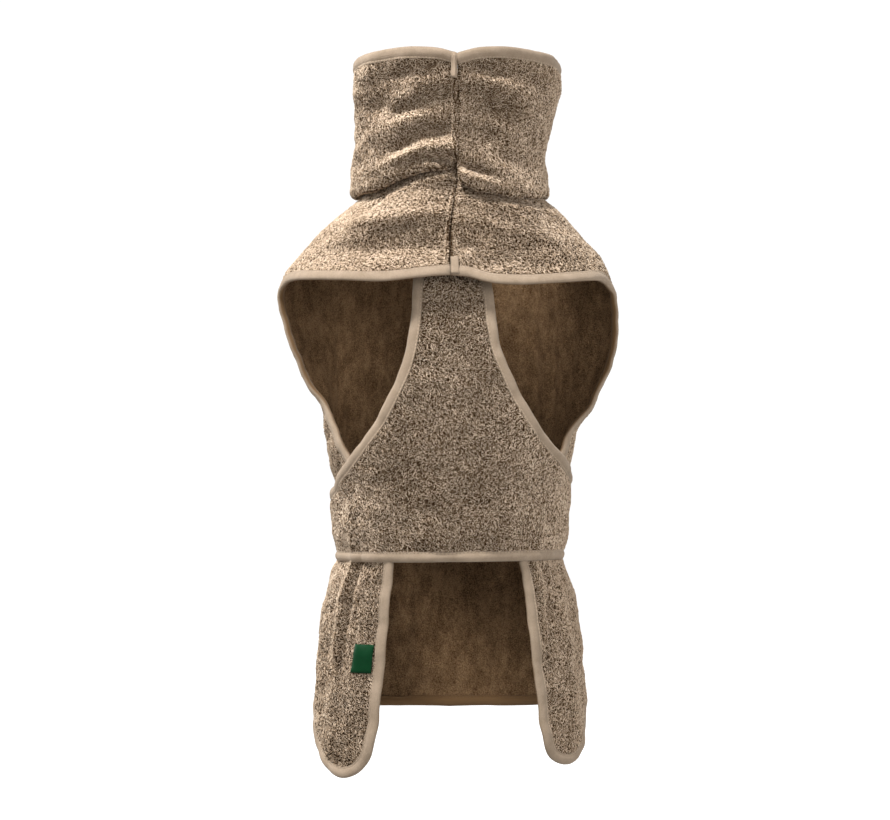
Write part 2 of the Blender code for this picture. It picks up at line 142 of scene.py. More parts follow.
CAPE_FOLDS = (
    # turn, drop, half length, half width, height, slope in degrees (90 runs down the cape)
    (-168, -14, 30, 8, 7.0, 4),
    (-162, 8, 40, 18, 7.5, 2),
    (-148, -1, 17, 8, 4.0, 24),
    (-133, 6, 7, 5, -7.0, 60),
    (-150, 26, 50, 9, 10.0, 2),
    (-146, 58, 56, 14, -9.5, 3),
    (-128, 14, 20, 5, -2.0, -30),
    (-118, 40, 30, 8, -2.0, 40),
    (152, 4, 46, 16, 11.0, -6),
    (150, 38, 44, 6, 3.5, -12),
    (152, 72, 52, 24, -9.0, 2),
    (173, 54, 12, 6, -3.0, -10),
    (147, 6, 40, 4.5, -9.0, -4),
    (-123, 395, 70, 5, 4.5, 88),
    (-128.5, 400, 60, 4, -3.5, 88),
    (-137, 455, 50, 7, 2.0, 84),
    (-113, 440, 90, 9, -2.5, 88),
    (135, 385, 50, 5, 3.0, 82),
    (130, 390, 50, 4, -2.0, 82),
    (118, 440, 80, 8, 2.5, 92),
    (-84, 150, 90, 8, -2.5, 84),
    (-66, 170, 90, 8, 4.0, 86),
    (82, 150, 90, 9, -2.5, 95),
    (60, 170, 90, 8, 4.0, 94),
    (-34, 210, 90, 9, -7.0, 80),
    (-12, 180, 110, 10, 7.0, 95),
    (8, 215, 90, 8, -5.0, 98),
    (28, 230, 80, 9, -6.0, 101),
    (44, 220, 110, 9, 6.5, 94),
    (-56, 240, 90, 9, 5.5, 86),
    (-48, 440, 70, 9, 6.0, 84),
    (-22, 450, 60, 8, -5.5, 92),
    (14, 440, 70, 9, 6.0, 87),
    (54, 440, 70, 9, -6.0, 95),
    (0, 40, 60, 9, -3.0, 6),
    (-20, 278, 50, 7, 3.0, -5),
    (30, 284, 50, 7, 3.0, 7),
)
RIPPLES = (
    # wave length, direction in degrees, height: soft cloth that has been washed is never even
    (61, 20, 0.55),
    (47, 74, 0.5),
    (33, 128, 0.4),
    (24, 51, 0.3),
    (19, 103, 0.22),
    (14, 165, 0.15),
)
CREST_SWAY = 1.6  # radians by which a ripple's crest sways
CREST_LENGTH = 1.7  # wave lengths along a crest to each radian of the way it sways
SEAM_EASE = 7.0  # how near the front seam the folds of the two halves come level
SEAM_SHAPE = (
    # distance from the seam, half width, height on the left half, on the right half: the cloth is drawn in
    # at the seam, and the allowance folded under the left half makes a welt
    (0, 6, -1.2, -1.2),
    (0, 1.1, -2.2, -2.0),
    (2.5, 1.4, 2.2, 0.2),
)

NECK_RISE = (
    # turn either way, height of the neck seam
    (0, 14),
    (40, 12),
    (90, 10),
    (120, 13),
    (140, 21),
    (160, 27),
    (180, 30),
)
RIGHT_EDGE = (
    # turn, drop of the bound edge from the front seam to the centre of the back
    (SEAM_TURN, 80),
    (172, 82),
    (165, 87),
    (155, 89),
    (140, 87),
    (126, 84),
    (117, 83),
    (110.5, 86),
    (105.5, 93),
    (102.5, 104),
    (101.6, 118),
    (101.6, 150),
    (101.8, 190),
    (104.3, 210),
    (108.5, 230),
    (115, 248),
    (123, 265),
    (132, 300),
    (140, 345),
    (141.5, 370),
    (142, 413),
    (141.2, 452),
    (139.5, 491),
    (138, 524),
    (134.5, 544),
    (129, 552.5),
    (122, 555.5),
    (114.5, 552.5),
    (107.5, 544),
    (102, 530),
    (97, 515),
    (91, 503),
    (82, 498),
    (66, 504),
    (40, 513),
    (0, 517),
)
LEFT_EDGE = (
    # the same for the left, from the centre of the back to the front seam
    (0, 517),
    (-40, 513),
    (-66, 504),
    (-82, 498),
    (-91, 504),
    (-97, 520),
    (-103, 539),
    (-112, 554),
    (-122, 564),
    (-131, 567),
    (-138, 561.5),
    (-144, 548),
    (-147.3, 525),
    (-148.7, 491),
    (-150.3, 442),
    (-150.8, 394),
    (-150, 365),
    (-147, 340),
    (-135, 300),
    (-127, 265),
    (-122, 250),
    (-115, 230),
    (-107.3, 210),
    (-102.8, 190),
    (-101.6, 150),
    (-101.6, 112),
    (-102.5, 99),
    (-105.5, 89),
    (-110.5, 84),
    (-117, 82.5),
    (-126, 83),
    (-140, 84.5),
    (-155, 86),
    (-166, 83),
    (-SEAM_TURN, 80),
)


def through(x, y, slope, at):
    """A cubic curve through the points (x, y), with the given slope at each."""
    at = np.clip(at, x[0], x[-1])
    low = np.clip(np.searchsorted(x, at) - 1, 0, len(x) - 2)
    span = x[low + 1] - x[low]
    part = (at - x[low]) / span
    start = y[low] * (1 + 2 * part) * (1 - part) ** 2 + slope[low] * span * part * (1 - part) ** 2
    end = y[low + 1] * (3 - 2 * part) * part**2 - slope[low + 1] * span * (1 - part) * part**2
    return start + end


def read_table(table, at, column=1):
    """A column of a table at any value of its first column, with no swing past the rows."""
    rows = np.array(table, float)
    x = rows[:, 0]
    y = rows[:, column]
    rise = np.diff(y) / np.diff(x)
    slope = np.concatenate([rise[:1], np.zeros(len(rise) - 1), rise[-1:]])
    same_way = rise[:-1] * rise[1:] > 0
    both = np.where(same_way, rise[:-1] + rise[1:], 1)
    slope[1:-1] = np.where(same_way, 2 * rise[:-1] * rise[1:] / both, 0)
    return through(x, y, slope, at)


def folds(table, across, down, across_scale):
    """The summed height of soft folds at points of a flat drawing."""
    height = np.zeros(np.shape(across))
    for turn, drop, half_length, half_width, fold_height, slope in table:
        angle = np.radians(slope)
        sideways = (across - turn) * across_scale
        along = sideways * np.cos(angle) + (down - drop) * np.sin(angle)
        off = (down - drop) * np.cos(angle) - sideways * np.sin(angle)
        height = height + fold_height * np.exp(-((along / half_length) ** 2) - (off / half_width) ** 2)
    return height


def joined_folds(table, turn, down, across_scale):
    """The same, eased so that both halves are level with each other where they meet at the front seam."""
    here = np.where(turn < 0, -180.0, 180.0)
    step = folds(table, -here, down, across_scale) - folds(table, here, down, across_scale)
    nearness = np.exp(-(((180 - np.abs(turn)) * across_scale / SEAM_EASE) ** 2))
    return folds(table, turn, down, across_scale) + step / 2 * nearness


def ripples(across, down):
    """Small uneven waves, in mm, at points of a flat drawing in mm."""
    height = 0
    for number, (length, way, rise) in enumerate(RIPPLES):
        angle = np.radians(way)
        along = across * np.cos(angle) + down * np.sin(angle)
        on_crest = down * np.cos(angle) - across * np.sin(angle)
        sway = CREST_SWAY * np.sin(on_crest / (CREST_LENGTH * length) + number)
        height = height + rise * np.sin(2 * np.pi * along / length + sway)
    return height


def trunk(turn, drop, stand_off):
    """Points this far off the trunk form, with the cape's folds in them."""
    turn = (turn + 180) % 360 - 180
    angle = np.radians(turn)
    depth = np.where(np.cos(angle) > 0, read_table(FORM, drop, 3), read_table(FORM, drop, 1))
    off = stand_off + joined_folds(CAPE_FOLDS, turn, drop, TURN_MM)
    lean = read_table(FORM, drop, 4) * np.clip(-np.cos(angle), 0, 1) ** 2
    x = (read_table(FORM, drop, 2) + off) * np.sin(angle) + lean
    y = (depth + off) * np.cos(angle)
    return np.stack([x, y, -drop + 0 * x], axis=-1)


def seam_shape(turn, from_seam):
    """How a centre seam draws the cloth in, and the welt of the allowance beside it on the left half."""
    height = 0
    for middle, half_width, left, right in SEAM_SHAPE:
        rise = np.where(turn < 0, left, right)
        height = height + rise * np.exp(-(((from_seam - middle) / half_width) ** 2))
    return height


def cape_surface(flat):
    """The middle of the cape's cloth at points of its flat drawing."""
    turn, drop = flat[:, 0], flat[:, 1]
    rightness = (1 + np.sin(np.radians(turn))) / 2
    flare = read_table(FLARE, drop, 1) * (1 - rightness) + read_table(FLARE, drop, 2) * rightness
    below_neck = np.clip((drop + NECK_EASE) / NECK_EASE, 0, 1)
    seam = below_neck * seam_shape(turn, (180 - np.abs(turn)) * TURN_MM)
    small = below_neck * ripples(turn * TURN_MM, drop)
    flick = read_table(HEM_FLICK, drop) * read_table(FLICK_SHARE, np.abs(turn))
    return trunk(turn, drop, flare * read_table(SHARE, np.abs(turn)) + flick + seam + small)


def normals(surface, flat):
    """Outward normals of a surface at points of its flat drawing; on a centre seam they lie in its plane."""
    across = surface(flat + (NUDGE, 0)) - surface(flat - (NUDGE, 0))
    down = surface(flat + (0, NUDGE)) - surface(flat - (0, NUDGE))
    normal = np.cross(across, down)
    on_seam = np.minimum(np.abs(flat[:, 0]), 180 - np.abs(flat[:, 0])) < ON_SEAM
    normal[on_seam, 0] = 0
    normal /= np.linalg.norm(normal, axis=1)[:, None]
    return normal * np.sign((normal * surface(flat))[:, :2].sum())


def smooth_line(surface, rows, spacing):
    """Points of a flat drawing along a smooth line through the rows, evenly spaced on the surface."""
    rows = np.array(rows, float)
    steps = np.linalg.norm(np.diff(rows * (TURN_MM, 1), axis=0), axis=1)
    at = np.concatenate([[0], np.cumsum(steps)])
    fine_at = np.linspace(0, at[-1], FINE_STEPS * len(rows))
    columns = [through(at, rows[:, c], np.gradient(rows[:, c], at), fine_at) for c in (0, 1)]
    fine = np.stack(columns, axis=-1)
    lengths = np.linalg.norm(np.diff(surface(fine), axis=0), axis=1)
    travelled = np.concatenate([[0], np.cumsum(lengths)])
    count = int(round(travelled[-1] / spacing)) + 1
    stations = np.linspace(0, travelled[-1], count)
    return np.stack([np.interp(stations, travelled, fine[:, c]) for c in (0, 1)], axis=-1)


def inner_line(surface, edge, start_way, end_way):
    """The edge's points moved in by the binding's reach; at its two ends they move along the free edge."""
    scaled = edge * (TURN_MM, 1)
    along = np.gradient(scaled, axis=0)
    ways = np.stack([-along[:, 1], along[:, 0]], axis=-1)
    ways[0], ways[-1] = start_way, end_way
    ways /= np.linalg.norm(ways, axis=1)[:, None]
    nearby = (scaled + ways) / (TURN_MM, 1)
    stretch = np.linalg.norm(surface(nearby) - surface(edge), axis=1)
    return (scaled + ways * REACH / stretch[:, None]) / (TURN_MM, 1)


def net_points(loop):
    """Staggered points inside a closed loop, none of them close to it."""
    ahead = np.roll(loop, -1, axis=0)
    tree = KDTree(len(loop))
    for number, point in enumerate(loop):
        tree.insert((*point, 0), number)
    tree.balance()
    points = []
    for number, down in enumerate(np.arange(loop[:, 1].min(), loop[:, 1].max(), NET_STEP)):
        crossed = (loop[:, 1] > down) != (ahead[:, 1] > down)
        here, there = loop[crossed], ahead[crossed]
        part = (down - here[:, 1]) / (there[:, 1] - here[:, 1])
        ends = np.sort(here[:, 0] + part * (there[:, 0] - here[:, 0]))
        for start, end in zip(ends[::2], ends[1::2]):
            first = np.ceil(start / NET_STEP) + number % 2 / 2
            points += [(x * NET_STEP, down) for x in np.arange(first, end / NET_STEP)]
    return [point for point in points if tree.find((*point, 0))[2] > NET_STEP / 2]


def fill(edge, inner, free, seam_points=()):
    """Points of a flat panel, its triangles under the binding, and those of the net inside them."""
    count = len(edge)
    loop = np.concatenate([inner, free]) * (TURN_MM, 1)
    grid = net_points(loop) + list(seam_points)
    corners, _, net, *_ = delaunay_2d_cdt(
        [Vector(point) for point in [*loop, *grid]],
        [],
        [list(range(len(loop)))],
        ONLY_INSIDE,
        SAME_POINT,
    )
    strip = [(i, i + 1, i + 1 + count) for i in range(count - 1)]
    strip += [(i, i + 1 + count, i + count) for i in range(count - 1)]
    flat = np.concatenate([edge, np.array(corners) / (TURN_MM, 1)])
    return flat, np.array(strip), np.array(net) + count


def shell(middle, outward, faces, thickness=CLOTH):
    """Both sides and the rim of a thin cloth, from the points of its middle and the way out from each."""
    count = len(middle)
    sides = {(a, b) for face in faces.tolist() for a, b in zip(face, face[1:] + face[:1])}
    rim = [(b, a, a + count) for a, b in sides if (b, a) not in sides]
    rim += [(b, a + count, b + count) for a, b in sides if (b, a) not in sides]
    points = np.concatenate([middle + outward * thickness / 2, middle - outward * thickness / 2])
    return points, np.concatenate([faces, faces[:, ::-1] + count, rim])


def add_object(name, data):
    thing = bpy.data.objects.new(name, data)
    bpy.context.scene.collection.objects.link(thing)
    return thing


def add_piece(name, points, faces, material, slot, attribute, values):
    """A piece in metres that rides on the one body. Values, one for each point, are for the material."""
    faces = np.asarray(faces, np.int32)
    corners = faces.shape[1]
    mesh = bpy.data.meshes.new(name)
    mesh.vertices.add(len(points))
    mesh.vertices.foreach_set("co", (np.asarray(points) * MM).astype(np.float32).ravel())
    mesh.loops.add(faces.size)
    mesh.loops.foreach_set("vertex_index", faces.ravel())
    mesh.polygons.add(len(faces))
    mesh.polygons.foreach_set("loop_start", np.arange(0, faces.size, corners, dtype=np.int32))
    mesh.polygons.foreach_set("loop_total", np.full(len(faces), corners, np.int32))
    mesh.update(calc_edges=True)
    mesh.shade_smooth()
    mesh.attributes.new(attribute, "FLOAT", "POINT").data.foreach_set("value", values)
    mesh.materials.append(material)
    thing = add_object(name, mesh)
    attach(thing, "root")
    return thing


LOOP_AREA = 1.55  # square mm of cloth to each standing loop of the pile
LOOP_LENGTH = 2.6
LOOP_WIDTH = 1.15
LOOP_HEIGHT = 1.8
LOOP_SIZES = (0.75, 1.25)  # share of that length and width, from the smallest loop to the largest
LOOP_RISES = (0.5, 1.3)  # share of that height at either end of a loop
LOOP_DEPTH = 0.2  # how deep its foot is set in the ground weave
LOOP_FOOT_SHADE = -0.8  # yarn value where a loop comes out of the ground weave: painted shade at its foot
CAPE_TONES = (0.56, 1.12)  # yarn value along the top of the darkest loop and of the palest
SWIRL = 1.0  # how far each loop turns away from the way its neighbours lie
BARE_TURN = 179.05  # past this the loops are caught in the front seam

chance = np.random.default_rng(7)


def combed(place):
    """The way that the loops lie across, which turns slowly. The numbers are the mm to each radian."""
    x, y, z = place.T
    ways = [
        np.sin(z / 9 + np.sin(x / 13)),
        np.sin(x / 11 + z / 17),
        np.cos(z / 14 + y / 12),
    ]
    return np.stack(ways, axis=-1)


def pile(points, faces, outward, tones):
    """Points, faces and yarn values of loops that stand on the triangles of a panel, each a small tent."""
    corners = points[faces]
    sides = corners[:, 1:] - corners[:, :1]
    area = np.linalg.norm(np.cross(sides[:, 0], sides[:, 1]), axis=1) / 2
    loops_here = np.floor(area / LOOP_AREA + chance.random(len(faces))).astype(int)
    chosen = np.repeat(np.arange(len(faces)), loops_here)
    weights = chance.dirichlet((1, 1, 1), len(chosen))[:, :, None]
    foot = (corners[chosen] * weights).sum(axis=1)
    up = (outward[faces[chosen]] * weights).sum(axis=1)
    up /= np.linalg.norm(up, axis=1)[:, None]
    way = np.cross(up, combed(foot) + SWIRL * chance.normal(size=up.shape))
    way /= np.linalg.norm(way, axis=1)[:, None]
    size = chance.uniform(*LOOP_SIZES, (len(chosen), 2))
    half_length = way * (LOOP_LENGTH / 2 * size[:, :1])
    half_width = np.cross(up, way) * (LOOP_WIDTH / 2 * size[:, 1:])
    start, end = LOOP_HEIGHT * chance.uniform(*LOOP_RISES, (2, len(chosen), 1))
    tent = [
        foot + up * start - half_length,
        foot - half_width,
        foot + up * end + half_length,
        foot + half_width,
    ]
    first = np.arange(len(chosen))[:, None] * len(tent)
    triangles = np.concatenate([first + (0, 1, 2), first + (0, 2, 3)])
    top = chance.uniform(*tones, len(chosen))
    low = np.full(len(chosen), LOOP_FOOT_SHADE)
    yarn = np.stack([top, low, top, low], axis=1)
    return np.stack(tent, axis=1).reshape(-1, 3), triangles, yarn.ravel()


def new_group(name, inputs, outputs):
    """An empty shader node group with number or colour sockets, and its input and output nodes."""
    group = bpy.data.node_groups.new(name, "ShaderNodeTree")
    for label, value in inputs:
        kind = "NodeSocketColor" if isinstance(value, tuple) else "NodeSocketFloat"
        socket = group.interface.new_socket(label, in_out="INPUT", socket_type=kind)
        socket.default_value = (*value, 1) if isinstance(value, tuple) else value
    for label, kind in outputs:
        group.interface.new_socket(label, in_out="OUTPUT", socket_type=kind)
    return group, group.nodes.new("NodeGroupInput").outputs, group.nodes.new("NodeGroupOutput").inputs


def add_node(tree, kind, links=(), **settings):
    """A node with its settings; links are (input, value or the output that feeds it)."""
    node = tree.nodes.new(kind)
    for label, value in settings.items():
        setattr(node, label, value)
    for label, value in links:
        if isinstance(value, bpy.types.NodeSocket):
            tree.links.new(value, node.inputs[label])
        else:
            node.inputs[label].default_value = value
    return node


def cloth_place(tree, stretch=(1000, 1000, 1000)):
    """The place on the robe, in mm unless it is stretched."""
    place = add_node(tree, "ShaderNodeTexCoord").outputs["Object"]
    scaled = add_node(tree, "ShaderNodeVectorMath", [(0, place), (1, stretch)], operation="MULTIPLY")
    return scaled.outputs[0]


def add_noise(tree, place, scale, detail=2.0, roughness=0.5, distortion=0.0):
    """Soft noise from 0 to 1 with lumps of about 1 / scale mm."""
    links = [
        ("Vector", place),
        ("Scale", scale),
        ("Detail", detail),
        ("Roughness", roughness),
        ("Distortion", distortion),
    ]
    return add_node(tree, "ShaderNodeTexNoise", links).outputs["Fac"]


def remap(tree, value, low, high, to_low, to_high):
    """Value from low to high, laid over to_low to to_high and held there."""
    ends = [("From Min", low), ("From Max", high), ("To Min", to_low), ("To Max", to_high)]
    return add_node(tree, "ShaderNodeMapRange", [("Value", value), *ends]).outputs["Result"]


def calculate(tree, operation, first, second):
    return add_node(tree, "ShaderNodeMath", [(0, first), (1, second)], operation=operation).outputs[0]


def mix_colours(tree, share, first, second):
    links = [("Factor", share), ("A", first), ("B", second)]
    return add_node(tree, "ShaderNodeMix", links, data_type="RGBA").outputs["Result"]


def point_value(tree, name):
    """The value that add_piece gave to each point."""
    return add_node(tree, "ShaderNodeAttribute", attribute_name=name).outputs["Fac"]


def add_bump(tree, height, strength, distance):
    """The normal of a surface whose relief is this distance deep, in metres."""
    links = [("Strength", strength), ("Distance", distance), ("Height", height)]
    return add_node(tree, "ShaderNodeBump", links).outputs["Normal"]


def use_group(tree, group, links=()):
    return add_node(tree, "ShaderNodeGroup", links, node_tree=group).outputs


NOISE_RANGE = (0.3, 0.7)  # holds nearly all the values of a soft noise


def make_towelling_group():
    """Colour of the towelling for a yarn value from 0, painted shade deep between the loops, to 1, on top of
    one.
    """
    group, given, made = new_group(
        "towelling_colour",
        [
            ("Yarn", 0.5),
            ("Gap shade", (0.04, 0.02, 0.008)),
            ("Body", (0.28, 0.194, 0.122)),
            ("Tip", (0.7, 0.56, 0.425)),
        ],
        [("Color", "NodeSocketColor")],
    )
    place = cloth_place(group)
    clumps = add_noise(group, place, 0.16, detail=3.0, roughness=0.6)
    streaks_down = add_noise(group, cloth_place(group, (330, 330, 22)), 0.8)
    washed = add_noise(group, place, 0.021, detail=3.0, roughness=0.55)
    shift = 0.0
    for noise, reach in ((clumps, 0.08), (streaks_down, 0.07), (washed, 0.07)):
        shift = calculate(group, "ADD", shift, remap(group, noise, *NOISE_RANGE, -reach, reach))
    yarn = calculate(group, "ADD", given["Yarn"], shift)
    to_body = remap(group, yarn, 0.0, 0.45, 0, 1)
    to_tip = remap(group, yarn, 0.45, 1.0, 0, 1)
    # from 0 up to the body colour the yarn value paints shade between the loops
    low = mix_colours(group, to_body, given["Gap shade"], given["Body"])
    group.links.new(mix_colours(group, to_tip, low, given["Tip"]), made["Color"])
    return group


def make_curls_group():
    """Curled yarn of the ground under the standing loops: its height, and a yarn value of painted shade."""
    group, given, made = new_group(
        "curled_yarn",
        [("Size", 0.4)],
        [("Height", "NodeSocketFloat"), ("Yarn", "NodeSocketFloat")],
    )
    place = cloth_place(group)
    noise = add_noise(group, place, given["Size"], roughness=0.55, distortion=0.9)
    off_ridge = calculate(group, "ABSOLUTE", calculate(group, "SUBTRACT", noise, 0.5), 0)
    height = remap(group, off_ridge, 0.0, 0.16, 1, 0)
    group.links.new(height, made["Height"])
    # the ground's yarn value stays below the loops' body colour: painted shade under the loops, deepest in
    # the hollows
    group.links.new(remap(group, height, 0.0, 1.0, -0.35, 0.3), made["Yarn"])
    return group


towelling_group = make_towelling_group()
curls_group = make_curls_group()


def new_material(name, roughness, sheen):
    """A cloth material with its shader, still without its colour nodes."""
    material = bpy.data.materials.new(name)
    material.use_nodes = True
    shader = material.node_tree.nodes["Principled BSDF"].inputs
    shader["Roughness"].default_value = roughness
    shader["Specular IOR Level"].default_value = 0.08
    shader["Sheen Weight"].default_value = sheen
    shader["Sheen Roughness"].default_value = 0.6
    shader["Sheen Tint"].default_value = (0.95, 0.86, 0.76, 1)
    return material, material.node_tree, shader


INSIDE_SHADE_DARK = (0.07, 0.034, 0.012, 1)  # painted shade: the inside of the robe is darker than its outside, mottled between these two colours
INSIDE_SHADE_PALE = (0.34, 0.208, 0.108, 1)


def make_ground_material():
    """The towelling's ground weave, with the smaller loops that aren't in the mesh."""
    material, tree, shader = new_material("towelling_ground", roughness=0.95, sheen=0.0)
    curls = use_group(tree, curls_group)
    outer = use_group(tree, towelling_group, [("Yarn", curls["Yarn"])])["Color"]
    patches = add_noise(tree, cloth_place(tree, (160, 160, 90)), 0.5, detail=4.0, roughness=0.7)
    fine_patches = add_noise(tree, cloth_place(tree), 0.8, roughness=0.8, distortion=0.4)
    large = remap(tree, patches, 0.35, 0.65, 0, 0.4)
    small = remap(tree, fine_patches, 0.35, 0.65, 0, 0.6)
    inside_mottle = remap(tree, calculate(tree, "ADD", large, small), 0.1, 0.9, 0, 1)
    inner = mix_colours(tree, inside_mottle, INSIDE_SHADE_DARK, INSIDE_SHADE_PALE)
    # painted shade on the inner side of the cloth, mottled in patches; the outer side keeps the towelling
    # colour
    colour = mix_colours(tree, point_value(tree, "outside"), inner, outer)
    tree.links.new(colour, shader["Base Color"])
    bump = add_bump(tree, curls["Height"], strength=1.0, distance=0.0011)
    tree.links.new(bump, shader["Normal"])
    return material


def make_loop_material():
    """The standing loops, with painted shade at the foot, from the yarn value of each point."""
    material, tree, shader = new_material("towelling_loops", roughness=0.95, sheen=0.02)
    colour = use_group(tree, towelling_group, [("Yarn", point_value(tree, "yarn"))])["Color"]
    tree.links.new(colour, shader["Base Color"])
    return material


ground_cloth = make_ground_material()
loop_yarn = make_loop_material()


def add_towelling(name, surface, flat, under_binding, net, tones, seamed=True, loop_parts=1):
    """A panel of towelling: its ground cloth, and its loops in as many pieces as the mesh limit asks."""
    outward = normals(surface, flat)
    cloth = shell(surface(flat), outward, np.concatenate([under_binding, net]))
    # marks the inner side of the cloth, which takes the painted shade of the inside
    outside = np.repeat([1.0, 0.0], len(flat))
    ground = add_piece(name, *cloth, ground_cloth, "terry", "outside", outside)
    points = surface(flat) + outward * (CLOTH / 2 - LOOP_DEPTH)
    middle = flat[net].mean(axis=1)
    looped = net[np.abs(middle[:, 0]) < BARE_TURN] if seamed else net
    order = np.argsort(points[looped].mean(axis=1)[:, 2])
    loops = []
    for number, part in enumerate(np.array_split(looped[order], loop_parts)):
        *mesh, yarn = pile(points, part, outward, tones)
        loops.append(add_piece(f"{name}_loops_{number + 1}", *mesh, loop_yarn, "terry", "yarn", yarn))
    return ground, loops


right_edge = smooth_line(cape_surface, RIGHT_EDGE, EDGE_STEP)
left_edge = smooth_line(cape_surface, LEFT_EDGE, EDGE_STEP)
cape_edge = np.concatenate([right_edge, left_edge[1:]])
cape_inner = inner_line(cape_surface, cape_edge, (0, -1), (0, -1))
neck_turns = np.linspace(-SEAM_TURN, SEAM_TURN, NECK_POINTS)
cape_neck = np.stack([neck_turns, -read_table(NECK_RISE, np.abs(neck_turns))], axis=-1)
seam_drops = np.arange(*SEAM_DROPS, SEAM_STEP)
right_seam = np.stack([np.full(len(seam_drops), SEAM_TURN), seam_drops], axis=-1)
left_seam = (right_seam * (-1, 1))[::-1]
beside_seam = [
    (side * (180 - from_seam / TURN_MM) * TURN_MM, drop)
    for side in (-1, 1)
    for from_seam in WELT_COLUMNS
    for drop in seam_drops
]
sewn_edge = np.concatenate([left_seam, cape_neck, right_seam])
cape_cut = fill(cape_edge, cape_inner, sewn_edge, beside_seam)
cape, cape_loops = add_towelling("cape_towelling", cape_surface, *cape_cut, CAPE_TONES, loop_parts=3)
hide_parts("cape")


# --- The cape's binding ---
# One length of woven tape folded over the whole lower edge and topstitched, its ends meeting at the front
# seam. The tape is smooth, paler than the towelling, and puckers a little along its stitches.

TAPE = 1.0  # thickness
INSIDE_TAPE_SHADE = (0.14, 0.078, 0.034, 1)  # painted shade: colour of the side of the tape and its stitches that lies inside the robe
TAPE_PROFILE = (
    # reach in from the edge, height off the middle of the cloth
    (9.0, 1.55),
    (8.7, 2.3),
    (8.2, 2.2),
    (7.4, 1.95),
    (6.5, 2.35),
    (5.2, 3.0),
    (3.2, 3.3),
    (1.2, 3.0),
    (-0.4, 2.3),
    (-1.5, 1.2),
    (-1.8, 0),
)
PUCKERS = (
    # wave length along the tape, height
    (6.1, 0.1),
    (9.7, 0.14),
    (17, 0.16),
)
STITCH_REACH = 7.6
STITCH_HEIGHT = 2.1
STITCH_STEP = 3.6
STITCH_LENGTH = 2.7
STITCH_SECTIONS = (
    # share of the length from the middle, share of the thread's thickness, lift in thicknesses
    (-0.5, 0.5, -0.5),
    (-0.28, 1, 0),
    (0.28, 1, 0),
    (0.5, 0.5, -0.5),
)
THREAD = 0.55  # thickness
THREAD_CORNERS = ((1, 0), (0, 1), (-1, 0), (0, -1))


def binding(surface, edge, inner):
    """The folded tape, and its two lines of stitches, each as points and faces."""
    edge_point = surface(edge)
    edge_normal, inner_normal = normals(surface, edge), normals(surface, inner)
    across = surface(inner) - edge_point
    length = np.linalg.norm(across, axis=1)[:, None]
    along = np.concatenate([[0], np.cumsum(np.linalg.norm(np.diff(edge_point, axis=0), axis=1))])
    pucker = sum(rise * np.sin(2 * np.pi * along / wave) for wave, rise in PUCKERS)

    def at(reach, height):
        """Points of the tape's section at every station; height is below zero on the inside of the robe."""
        share = np.clip(reach / REACH, 0, 1)
        up = edge_normal * (1 - share) + inner_normal * share
        lift = height + np.sign(height) * pucker * np.sin(np.pi * share)
        return edge_point + across / length * reach + up * np.reshape(lift, (-1, 1))

    outer = [*TAPE_PROFILE, *[(reach, -height) for reach, height in TAPE_PROFILE[-2::-1]]]
    inside = [(reach + TAPE if reach < 0 else reach, height) for reach, height in outer]
    inside = [(reach, np.sign(height) * max(abs(height) - TAPE, 0.0)) for reach, height in inside]
    rings = np.stack([at(*point) for point in outer + inside[::-1]], axis=1)
    stations, corners = rings.shape[:2]
    faces = []
    for corner in range(corners):
        here = np.arange(stations - 1) * corners + corner
        there = np.arange(stations - 1) * corners + (corner + 1) % corners
        faces.append(np.stack([here, there, there + corners, here + corners], axis=1))
    outside = np.clip([0.5 + height / 2 for _, height in outer + inside[::-1]], 0, 1)
    tape = rings.reshape(-1, 3), np.concatenate(faces), np.tile(outside, stations)
    lines = [
        stitches(at(STITCH_REACH, side * STITCH_HEIGHT), along, side * inner_normal)
        for side in (1, -1)
    ]
    thread_points = np.concatenate([line[0] for line in lines])
    thread_faces = np.concatenate([lines[0][1], lines[1][1] + len(lines[0][0])])
    thread_outside = np.repeat([1.0, 0.0], len(lines[0][0]))
    return tape, (thread_points, thread_faces, thread_outside), along[-1]


def stitches(line, along, outward):
    """A row of stitches along a line of points, each a short thread that dives in at both ends."""
    starts = np.arange(STITCH_STEP, along[-1] - STITCH_STEP, STITCH_STEP)

    def on_line(at, of):
        return np.stack([np.interp(at, along, of[:, c]) for c in range(3)], axis=-1)

    middle = starts + STITCH_LENGTH / 2
    up = on_line(middle, outward)
    up /= np.linalg.norm(up, axis=1)[:, None]
    way = on_line(middle + 0.5, line) - on_line(middle - 0.5, line)
    way /= np.linalg.norm(way, axis=1)[:, None]
    side = np.cross(up, way)
    centre = on_line(middle, line)
    sections = []
    for share, width, lift in STITCH_SECTIONS:
        ring_centre = centre + way * STITCH_LENGTH * share + up * THREAD * lift
        for u, v in THREAD_CORNERS:
            sections.append(ring_centre + (side * u + up * v) * THREAD / 2 * width)
    points = np.stack(sections, axis=1)
    first = np.arange(len(starts))[:, None] * points.shape[1]
    corners = len(THREAD_CORNERS)
    quads = []
    for ring in range(len(STITCH_SECTIONS) - 1):
        for corner in range(corners):
            a = ring * corners + corner
            b = ring * corners + (corner + 1) % corners
            quads.append(first + (a, b, b + corners, a + corners))
    return points.reshape(-1, 3), np.concatenate(quads)


